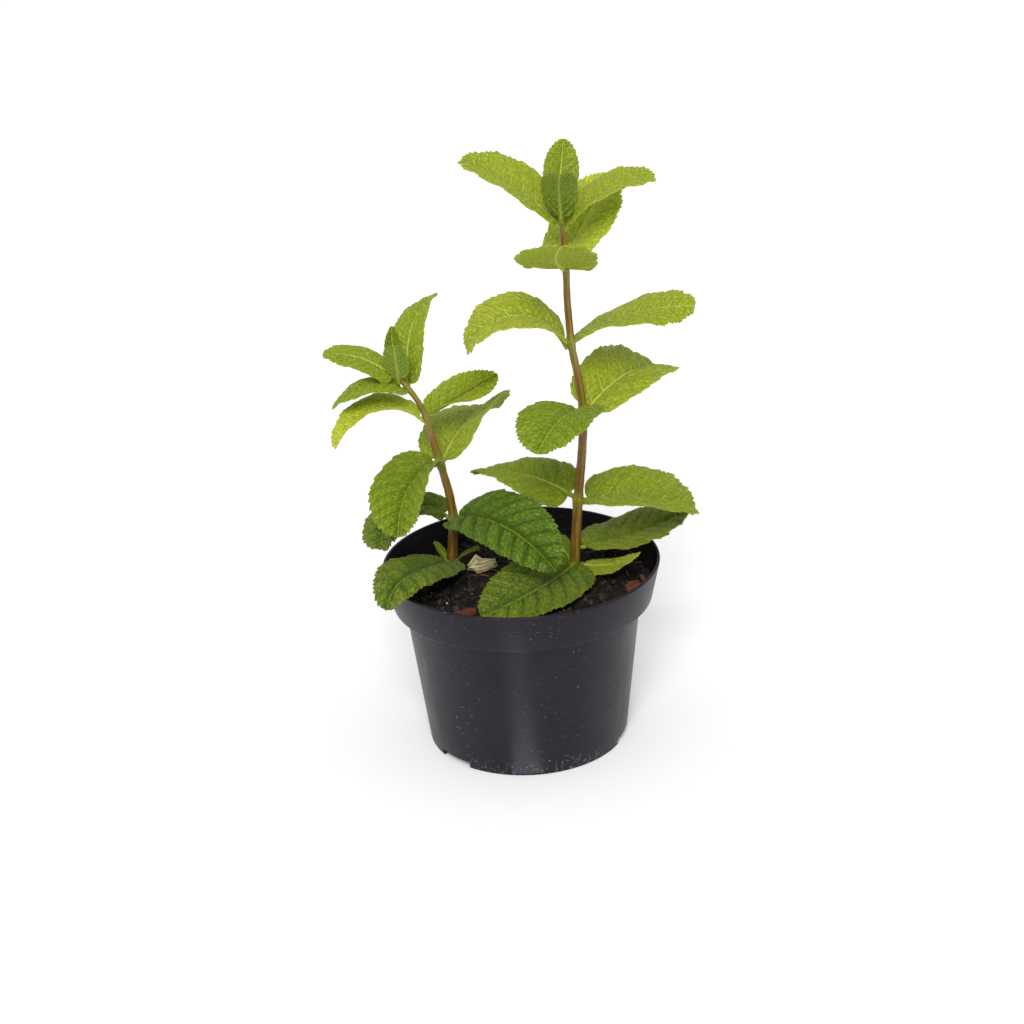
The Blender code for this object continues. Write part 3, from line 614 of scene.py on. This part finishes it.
def buildPot(form, finish):
    # a turned body, the outside profile less the inside one; drain channels are cut across under the floor,
    # which stays `wall` thick over them, and a hole is drilled up from each
    h, step, wall = form["height"], form["height"] - form["bandHeight"], form["wall"]
    lean = (form["wallTopRadius"] - form["footRadius"]) / step
    bandLean = (form["rimRadius"] - form["bandFootRadius"]) / form["bandHeight"]
    outside = rounded([(0, 0), (form["footRadius"], 0), (form["wallTopRadius"], step),
                       (form["bandFootRadius"], step), (form["rimRadius"], h), (0, h)],
                      form["outerRounding"])
    inTop = step + wall
    inside = rounded([(0, wall), (form["footRadius"] + lean * wall - wall, wall),
                      (form["wallTopRadius"] - wall, inTop),
                      (form["bandFootRadius"] + bandLean * wall - wall, inTop),
                      (form["rimRadius"] - wall, h),
                      (form["rimRadius"] - wall + form["lipFlare"], h + 3), (0, h + 3)],
                     form["innerRounding"])
    body = turnedMesh("pot_shell", outside, form["segments"])
    hollow = turnedMesh("pot_hollow", inside, form["segments"])
    half = form["channelWidth"] / 2
    for angle in form["channelAngles"]:
        carve(hollow, blockMesh("cap", (form["channelStart"] - wall, -half - wall, -5),
                                (60, half + wall, form["channelHeight"] + wall), angle))
    carve(body, hollow)
    for angle in form["channelAngles"]:
        carve(body, blockMesh("channel", (form["channelStart"], -half, -5),
                              (60, half, form["channelHeight"]), angle))
        x, y = (form["drainAt"] * f(math.radians(angle)) for f in (math.cos, math.sin))
        drill = turnedMesh("drain", [(0, 1), (form["drainRadius"], 1), (form["drainRadius"], 9), (0, 9)], 40)
        drill.data.transform(Matrix.Translation((x * mm, y * mm, 0)))
        carve(body, drill)
    mesh = body.data
    mesh.materials.clear()
    mesh.materials.append(finish)
    mesh.shade_smooth()
    mesh.set_sharp_from_angle(angle=math.radians(form["sharpDegrees"]))
    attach(body, "root")
    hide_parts("pot")
    return body


def potFinish():
    # moulded black polypropylene: a near-black plastic with a faintly violet satin shine, fine mould grain
    # about 0.45 mm across, grey dust near the foot, dried drips under the band and fine rub scratches
    made, shader, node = newMaterial("mouldedBlackPolypropylene")
    place = node("TexCoord", out="Object")
    height = node("Math MULTIPLY", node("SeparateXYZ", place, out="Z"), 1000.0)
    grain = node("TexNoise", place, Scale=2200.0, Detail=2.0, out="Fac")
    cloud = node("TexNoise", place, Scale=45.0, Detail=5.0, Roughness=0.6, out="Fac")
    speck = node("TexNoise", place, Scale=700.0, Detail=3.0, Roughness=0.7, out="Fac")
    # dust lies thickest in the lowest 8 mm and in scattered specks higher up
    low = node("MapRange", height, From_Min=8.0, From_Max=1.0)
    dust = node("Math MULTIPLY", low, node("Math MULTIPLY_ADD", speck, 7.0, -3.9, use_clamp=True))
    scatter = node("Math MULTIPLY_ADD", speck, 14.0, -9.2, use_clamp=True)
    scatter = node("Math MULTIPLY", scatter, node("Math MULTIPLY_ADD", cloud, 4.0, -1.6, use_clamp=True))
    film = node("Math MULTIPLY_ADD", cloud, 0.7, -0.18, use_clamp=True)
    # rub scratches: long thin dashes, tilted 25 degrees, about 0.4 mm wide
    tilted = node("Mapping", place, Scale=(260, 260, 2600), Rotation=(0.5, 0.2, 0.4))
    scratch = node("TexNoise", tilted, Scale=1.0, Detail=2.0, out="Fac")
    scratch = node("Math MULTIPLY_ADD", scratch, 18.0, -12.6, use_clamp=True)
    scratch = node("Math MULTIPLY", scratch, node("Math MULTIPLY_ADD", cloud, 5.0, -2.3, use_clamp=True))
    # drips: upright runs 2 to 5 mm wide that start under the band and fade 30 mm further down
    runs = node("TexNoise", node("Mapping", place, Scale=(330, 330, 14)), Scale=1.0, Detail=2.0, out="Fac")
    runs = node("Math MULTIPLY_ADD", runs, 9.0, -5.2, use_clamp=True)
    reached = node("Math MULTIPLY", node("MapRange", height, From_Min=34.0, From_Max=63.0),
                   node("MapRange", height, From_Min=66.0, From_Max=65.0))
    wet = node("Math MULTIPLY", runs, reached)
    marks = node("Math MAXIMUM", node("Math MAXIMUM", dust, scatter), scratch)
    mauve = node("TexNoise", place, Scale=60.0, Detail=3.0, out="Fac")
    mauve = node("Math MULTIPLY_ADD", mauve, 3.0, -1.2, use_clamp=True)
    colour = node("Mix RGBA", mauve, paint("#050508"), paint("#110c0f"))
    colour = node("Mix RGBA", film, colour, paint("#151317"))
    colour = node("Mix RGBA", node("Math MULTIPLY", wet, 0.8), colour, paint("#020202"))
    colour = node("Mix RGBA", node("Math MULTIPLY", marks, 0.65), colour, paint("#9a9592"))
    rough = node("Math MULTIPLY_ADD", film, 0.35, 0.36)
    rough = node("Math MULTIPLY_ADD", wet, -0.16, rough)
    rough = node("Math MULTIPLY_ADD", marks, 0.3, rough)
    uneven = node("Math MULTIPLY_ADD", grain, 0.35, node("Math MULTIPLY", marks, 0.4))
    plug(shader, {"Base Color": colour, "Roughness": rough, "Specular IOR Level": 0.36,
                  "Specular Tint": paint("#e2dbf2"),
                  "Normal": node("Bump", Strength=0.25, Distance=0.0002, Height=uneven)})
    return made


# the soil and what lies on it

soilForm = {
    "top": 70.5, "lump": 0.9, "clearance": 0.35, "low": 5.2,
    "rings": 150, "segments": 400,
    "clods": ((7.5, 2.4), (3.0, 1.3), (1.4, 0.5)),  # size and height, from clods to grains
    "edge": 55.8, "sunk": 0.25,
    "fibres": 170,
}
soilNets = [(scatteredNet((-60, -60), (60, 60), size, np.random.default_rng(seed + i)), high)
            for i, (size, high) in enumerate(soilForm["clods"])]


def soilHeight(x, y):
    # loosely heaped: a few slow waves, as the CAD has them
    return soilForm["top"] + soilForm["lump"] * (0.5 * np.sin(0.21 * x + 1.0) * np.cos(0.17 * y)
                                                 + 0.3 * np.sin(0.33 * y + 0.12 * x)
                                                 + 0.2 * np.cos(0.47 * x - 0.31 * y))


def crumbledHeight(x, y):
    # rounded clods, crumbs and grains stand on the waves: each is a dome over its own spot
    points = np.stack([x, y], -1)
    height = soilHeight(x, y) - 1.3
    for net, tall in soilNets:
        near, second, tag = nearest(points, net)
        dome = np.sqrt(np.clip(1 - (near / 0.75) ** 2, 0, 1)) * smooth(0.0, 0.25, second - near)
        height = height + tall * dome * tag ** 1.3
    return height


def buildSoil(form, finish):
    # rings of the heaped surface, then down the pot's inner wall to its floor
    outer = potForm
    step, inset = outer["height"] - outer["bandHeight"], outer["wall"] + form["clearance"]
    shelf = step + inset
    bandEdge = np.interp((form["top"], shelf), (step, outer["height"]),
                         (outer["bandFootRadius"], outer["rimRadius"]))
    angle = np.linspace(0, 2 * np.pi, form["segments"], endpoint=False)
    radii = (bandEdge[0] - inset) * np.linspace(0.002, 1, form["rings"]) ** 0.8
    x, y = radii[:, None] * np.cos(angle), radii[:, None] * np.sin(angle)
    top = np.stack([x, y, crumbledHeight(x, y)], -1)
    down = np.array([shelf, shelf, step - 2, 48.0, 28.0, form["low"], form["low"], form["low"], form["low"]])
    wall = np.interp(down[1:6], (0, step), (outer["footRadius"], outer["wallTopRadius"])) - inset
    reach = np.concatenate([[bandEdge[1] - inset], wall, [30.0, 12.0, 0.2]])[:, None]
    side = np.stack([reach * np.cos(angle), reach * np.sin(angle), down[:, None] + 0 * angle], -1)
    body = np.concatenate([top, side], 0)
    faces = ringFaces(len(body), form["segments"], True)
    piece = makePiece("potting_soil_heap", body, faces, finish, {})
    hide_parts("potting_soil")


def scatterPieces(name, shape, count, radii, stretch, margin, lift, finish, dice):
    # many pebbles in one mesh: each has its own size, proportions, turn and place, and is sunk by a share
    # of its depth
    base, baseFaces = pebble()
    base = base * np.array(shape)
    spin = dice.normal(size=(count, 4))
    spin /= np.linalg.norm(spin, axis=1, keepdims=True)
    w, x, y, z = spin.T
    turn = np.stack([1 - 2 * (y * y + z * z), 2 * (x * y - z * w), 2 * (x * z + y * w),
                     2 * (x * y + z * w), 1 - 2 * (x * x + z * z), 2 * (y * z - x * w),
                     2 * (x * z - y * w), 2 * (y * z + x * w), 1 - 2 * (x * x + y * y)], -1).reshape(-1, 3, 3)
    size = dice.uniform(0, 1, (count, 1)) ** 2.2 * (radii[1] - radii[0]) + radii[0]
    size = size * dice.uniform(stretch[0], stretch[1], (count, 3))
    copies = base[None] * size[:, None]
    copies = copies * (1 + dice.uniform(-0.22, 0.22, (count, len(base), 1)))
    copies = np.einsum("nij,nvj->nvi", turn, copies)
    reach = (soilForm["edge"] - margin) * np.sqrt(dice.uniform(0, 1, count))
    angle = dice.uniform(0, 2 * np.pi, count)
    px, py = reach * np.cos(angle), reach * np.sin(angle)
    low = copies[..., 2].min(1)
    pz = crumbledHeight(px, py) - low * (1 - soilForm["sunk"]) + lift
    copies = copies + np.stack([px, py, pz], -1)[:, None]
    faces = (np.array(baseFaces)[None] + (np.arange(count) * len(base))[:, None, None]).reshape(-1, 3)
    tags = np.repeat(dice.random(count), len(base))
    makePiece(name, copies, faces.tolist(), finish, {"tag": tags})


def pebble():
    # an icosahedron: 12 corners, 20 faces
    g = (1 + 5 ** 0.5) / 2
    corners = [(-1, g, 0), (1, g, 0), (-1, -g, 0), (1, -g, 0), (0, -1, g), (0, 1, g),
               (0, -1, -g), (0, 1, -g), (g, 0, -1), (g, 0, 1), (-g, 0, -1), (-g, 0, 1)]
    faces = [(0, 11, 5), (0, 5, 1), (0, 1, 7), (0, 7, 10), (0, 10, 11),
             (1, 5, 9), (5, 11, 4), (11, 10, 2), (10, 7, 6), (7, 1, 8),
             (3, 9, 4), (3, 4, 2), (3, 2, 6), (3, 6, 8), (3, 8, 9),
             (4, 9, 5), (2, 4, 11), (6, 2, 10), (8, 6, 7), (9, 8, 1)]
    return np.array(corners) / math.hypot(1, g), faces


looseBits = {  # proportions, number, radii, stretch, distance kept from the edge, lift, slot and look
    "soil_crumbs": ((1, 1, 1), 1100, (0.35, 1.9), (0.55, 1.25), 2, 0.0, "peat_soil",
                    ("peatCrumb", ("#090605", "#140e0b", "#211812", "#37281c"), 0.85, 0.8)),
    "soil_light_grains": ((1, 1, 1), 55, (0.25, 0.6), (0.7, 1.3), 2, 0.25, "peat_soil",
                          ("perliteGrain", ("#6d6350", "#a39878", "#d8cfb4"), 0.8, 0.6)),
    "soil_bark_crumbs": ((1.6, 1.0, 0.45), 60, (0.6, 1.9), (0.6, 1.3), 3, 0.2, "pine_bark",
                         ("barkCrumb", ("#1c0c08", "#3a1a10", "#5c2f1c"), 0.8, 0.9)),
}


def buildFibres(form, finish, dice):
    # root and coir fibres: four-sided threads of seven points that bend in a shallow arc over the soil
    count, steps, sides = form["fibres"], 7, 4
    reach = (form["edge"] - 3) * np.sqrt(dice.uniform(0, 1, count))
    angle, heading = dice.uniform(0, 2 * np.pi, (2, count))
    length = 3 + 9 * dice.random(count) ** 2
    bend = dice.uniform(-2.2, 2.2, count)
    t = np.linspace(-0.5, 0.5, steps)
    way = heading[:, None] + bend[:, None] * t
    stepLength = (length / (steps - 1))[:, None]
    x = (reach * np.cos(angle))[:, None] + np.cumsum(np.cos(way) * stepLength, 1)
    y = (reach * np.sin(angle))[:, None] + np.cumsum(np.sin(way) * stepLength, 1)
    inside = np.minimum(1, (form["edge"] - 1) / np.hypot(x, y))
    x, y = x * inside, y * inside
    rise = dice.uniform(0.0, 1.6, count)[:, None] * np.sin(np.pi * (t + 0.5))
    z = crumbledHeight(x, y).mean(1)[:, None] + 0.5 + rise + dice.uniform(-0.4, 0.5, count)[:, None] * t
    radius = (dice.uniform(0.1, 0.28, count)[:, None] * (1 - 0.6 * abs(2 * t) ** 3))[..., None, None]
    level = np.stack([-np.sin(way), np.cos(way), 0 * way], -1)[:, :, None]
    around = np.linspace(0, 2 * np.pi, sides, endpoint=False)
    ring = level * np.cos(around)[:, None] + np.array([0, 0, 1.0]) * np.sin(around)[:, None]
    body = np.stack([x, y, z], -1)[:, :, None] + ring * radius
    one = np.array(ringFaces(steps, sides))
    faces = (one[None] + (np.arange(count) * steps * sides)[:, None, None]).reshape(-1, 4)
    tags = np.repeat(dice.random(count), steps * sides)
    makePiece("soil_fibres", body, faces.tolist(), finish, {"tag": tags})


def soilFinish(name, colours, size):
    # damp peat potting soil: crumbly, dark brown to black and matt, each crumb a little different, with
    # moisture glints where it is wettest
    made, shader, node = newMaterial(name)
    place = node("TexCoord", out="Object")
    coarse = node("TexNoise", place, Scale=1000 / (size * 3), Detail=5.0, Roughness=0.65, out="Fac")
    grain = node("TexNoise", place, Scale=1000 / size, Detail=4.0, Roughness=0.7, out="Fac")
    dark, middle, light, grit = (paint(colour) for colour in colours)
    colour = node("ValToRGB", coarse, stops=[(0.33, dark), (0.52, middle), (0.68, light)])
    colour = node("Mix RGBA", node("Math MULTIPLY_ADD", grain, 8.0, -5.2, use_clamp=True), colour, grit)
    plug(shader, {"Base Color": colour, "Specular IOR Level": 0.35,
                  "Roughness": node("Math MULTIPLY_ADD", coarse, 0.5, 0.52, use_clamp=True),
                  "Normal": node("Bump", Strength=0.9, Distance=0.0006, Height=grain)})
    return made


def taggedFinish(name, colours, roughness, size):
    # bits among the soil: every one takes its own colour from the ramp, with a fibrous grain over it; on the
    # cut stem the tag also carries painted shade in the grooves between its splinters
    made, shader, node = newMaterial(name)
    grain = node("TexNoise", node("TexCoord", out="Object"), Scale=1000 / size, Detail=4.0, out="Fac")
    tag = node("Math ADD", node("Attribute", attribute_name="tag", out="Fac"), -0.25)
    place = node("Math MULTIPLY_ADD", grain, 0.5, tag, use_clamp=True)
    last = len(colours) - 1
    colour = node("ValToRGB", place, stops=[(i / last, paint(c)) for i, c in enumerate(colours)])
    plug(shader, {"Base Color": colour, "Roughness": roughness,
                  "Normal": node("Bump", Strength=0.7, Distance=0.0003, Height=grain)})
    return made


chips = {  # x, y, length, width, turn and thickness
    "bark_chip_front": (-25.0, -31.0, 11.0, 5.0, 20.0, 2.0),
    "bark_chip_back": (17.0, 34.0, 9.0, 6.0, -30.0, 2.0),
    "bark_chip_right": (47.0, -13.0, 10.0, 5.0, 60.0, 2.0),
}


def buildChip(name, form, finish, dice):
    # a splinter of pine bark: a rounded slab that narrows to a ragged end, with steps where layers have
    # flaked off its top
    x, y, length, width, turn, thickness = form
    rows, count = 44, 40
    t = np.linspace(-1, 1, rows)
    around = np.linspace(0, 2 * np.pi, count, endpoint=False)
    taper = (0.62 + 0.38 * smooth(-1, 0.3, t)) * np.sqrt(np.clip(1 - abs(t) ** 7, 0.02, 1))
    ragged = 1 + 0.10 * np.sin(3.1 * t + dice.uniform(0, 6)) + 0.05 * np.sin(9.0 * t + dice.uniform(0, 6))
    square = (abs(np.cos(around)) ** 5 + abs(np.sin(around)) ** 5) ** (-1 / 5)
    across = (taper * ragged)[:, None] * square * np.cos(around) * width / 2
    layers = 0.5 * np.floor(2.5 + 1.6 * np.sin(1.7 * across + 2.5 * t[:, None] + dice.uniform(0, 6))) / 2.0
    tall = square * np.sin(around) * thickness / 2 * (0.85 + 0.15 * taper[:, None])
    tall = tall + np.where(np.sin(around) > 0.2, 0.35 * (layers - 0.5), 0) + 0.1 * np.sin(6 * t)[:, None]
    along = t[:, None] * length / 2 + 0.35 * np.sin(2.3 * across + dice.uniform(0, 6)) * abs(t[:, None]) ** 4
    angle = math.radians(turn)
    px = x + along * math.cos(angle) - across * math.sin(angle)
    py = y + along * math.sin(angle) + across * math.cos(angle)
    pz = soilHeight(px, py) + 0.4 + thickness / 2 + tall
    body = np.stack([px, py, pz], -1)
    tag = dice.uniform(0.2, 0.8) + 0.25 * (layers - 0.5)
    faces = ringFaces(rows, count)
    piece = makePiece(name + "_bark", body, faces, finish, {"tag": (tag + 0 * along).ravel()})
    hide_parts(name)


stubForm = {"start": (-22.5, 10.0, 75.0), "end": (-12.0, 11.2, 76.2), "radius": 1.9, "splinters": 9}


def buildStub(form, finish):
    # the cream end of an old cut stem: a round bundle of fibres that flares to a tuft near its thick end
    # and frays into roots below; lengthwise splits run through it and both ends are jagged
    start, end = np.array(form["start"]), np.array(form["end"])
    along = (end - start) / np.linalg.norm(end - start)
    side = np.cross(along, (0, 0, 1))
    side /= np.linalg.norm(side)
    up = np.cross(side, along)
    rows, count = 76, 132
    t = np.linspace(0, 1, rows)[:, None]
    around = np.linspace(0, 2 * np.pi, count, endpoint=False)
    swell = np.interp(t, (0, 0.12, 0.3, 0.5, 0.75, 1), (0.7, 1.15, 1.55, 1.15, 0.95, 0.75))
    splits = abs(np.sin(around * form["splinters"] / 2 + 1.6 * np.sin(2.6 * t + around)))
    lumps = 0.10 * np.sin(7 * t + 2 * around) + 0.06 * np.sin(19 * t + 3 * around)
    radius = form["radius"] * swell * (0.78 + 0.26 * splits ** 0.6 + lumps)
    crest = np.exp(-((np.sin(around) - 1) / 0.5) ** 2) * np.exp(-((t - 0.3) / 0.16) ** 2)
    hanging = np.clip(-np.sin(around), 0, 1) ** 2 * (0.4 + 0.6 * abs(np.sin(around * 8 + 3 * t)))
    radius = radius + 2.2 * crest + 1.3 * hanging * smooth(0.05, 0.3, t)
    jag = 0.75 * np.sin(around * 5 + 1) + 0.6 * np.sin(around * 11 + 2.3) + 0.35 * np.sin(around * 19)
    reach = np.linalg.norm(end - start)
    place = t * reach + jag * (smooth(0.72, 1, t) - smooth(0.28, 0, t)) * 0.9
    radius = radius * np.where(t > 0.985, 0.7, 1) * np.where(t < 0.015, 0.7, 1)
    body = (start + place[..., None] * along + (radius * np.cos(around))[..., None] * side
            + (radius * np.sin(around))[..., None] * up)
    faces = ringFaces(rows, count, True)
    # colour follows the shape: painted shade darkens the grooves between the splinters, and the hanging
    # fibres underneath are darker
    attributes = {"tag": np.clip(0.25 + 0.65 * splits - 0.5 * hanging + 0 * radius, 0, 1).ravel()}
    piece = makePiece("cut_stem_stub_wood", body, faces, finish, attributes)
    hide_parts("cut_stem_stub")


# the studio

studio = {
    "camera": (-0.00287, -0.6944, 0.38718), "target": (-0.00287, 0.0, 0.1038), "lens": 61.7, "roll": 2.84,
    "sky": 0.70, "floor": "#fdfdfd", "floorReach": 12000.0,
    "sunPlace": (-0.08, -1.0, 0.85), "sunStrength": 2.2, "sunAngle": 24.0,
    # name, place, aim, width, height, watts
    "lights": (("floorStrip", (-0.0125, -0.099, 0.001), (-0.0127, -0.1, 1.0), 0.014, 0.12, 0.009),),
}


def aimed(place, target, roll=0.0):
    # a matrix at a place that looks at a target, turned about its line of sight
    place, target = Vector(place), Vector(target)
    turn = (target - place).to_track_quat("-Z", "Y").to_matrix().to_4x4()
    return Matrix.Translation(place) @ turn @ Matrix.Rotation(math.radians(roll), 4, "Z")


def buildStudio(form, pot):
    # a white paper sweep under an even white sky, a soft key from the front and a strip for the pot's sheen
    scene = bpy.context.scene
    camera = bpy.data.objects.new("camera", bpy.data.cameras.new("camera"))
    bpy.context.collection.objects.link(camera)
    camera.matrix_world = aimed(form["camera"], form["target"], -form["roll"])
    camera.data.lens = form["lens"]
    camera.data.clip_end = 100
    scene.camera = camera
    scene.view_settings.view_transform = "Standard"
    onlyPot = bpy.data.collections.new("onlyPot")
    onlyPot.objects.link(pot)
    for name, place, target, width, height, watts in form["lights"]:
        light = bpy.data.lights.new(name, "AREA")
        light.shape = "RECTANGLE"
        light.size, light.size_y = width, height
        light.energy = watts
        lamp = bpy.data.objects.new(name, light)
        bpy.context.collection.objects.link(lamp)
        lamp.matrix_world = aimed(place, target)
        lamp.light_linking.receiver_collection = onlyPot
        lamp.visible_camera = False
    sun = bpy.data.lights.new("softKey", "SUN")
    sun.energy = form["sunStrength"]
    sun.angle = math.radians(form["sunAngle"])
    lamp = bpy.data.objects.new("softKey", sun)
    bpy.context.collection.objects.link(lamp)
    lamp.matrix_world = aimed(form["sunPlace"], (0, 0, 0))
    world = bpy.data.worlds.new("softWhite")
    world.use_nodes = True
    plug(world.node_tree.nodes["Background"], {"Color": (1, 1, 1, 1), "Strength": form["sky"]})
    scene.world = world
    paper, shader = newMaterial("whitePaperSweep")[:2]
    plug(shader, {"Base Color": paint(form["floor"]), "Roughness": 0.9, "Specular IOR Level": 0.0})
    corners = np.array([(-1, -1, 0), (1, -1, 0), (1, 1, 0), (-1, 1, 0)]) * form["floorReach"]
    floor = newObject("floor", corners, [(0, 1, 2, 3)])
    floor.data.materials.append(paper)


pot = buildPot(potForm, potFinish())
print("pot ready")

buildStudio(studio, pot)
print("studio ready")

buildSoil(soilForm, soilFinish("dampPeatSoil", ("#080504", "#150f0b", "#221a14", "#3c2e22"), 1.2))
dice = np.random.default_rng(seed + 500)
for name, (shape, count, radii, stretch, margin, lift, slot, look) in looseBits.items():
    scatterPieces(name, shape, count, radii, stretch, margin, lift, taggedFinish(*look), dice)
buildFibres(soilForm, taggedFinish("coirFibre", ("#3a2a18", "#6b5030", "#94784c"), 0.8, 0.7), dice)
barkFinish = taggedFinish("pineBark", ("#1d0b07", "#42190f", "#64301d", "#835037"), 0.8, 0.9)
for name, form in chips.items():
    buildChip(name, form, barkFinish, dice)
buildStub(stubForm, taggedFinish("dryStemWood", ("#7d6a3a", "#cdbd80", "#f1e8bb"), 0.75, 0.5))
print("soil ready")

skin = stemFinish()
for name in stems:
    buildStem(name, stemForm, skin)
print("stems ready")

tissue = leafFinish(leafLook)
leaves = [dict(zip(leafKeys, row), stem=stem) for stem, rows in leafTable.items() for row in rows]
for number, leaf in enumerate(leaves):
    buildLeaf(leaf, leafForm, tissue, number)
print("leaves ready")
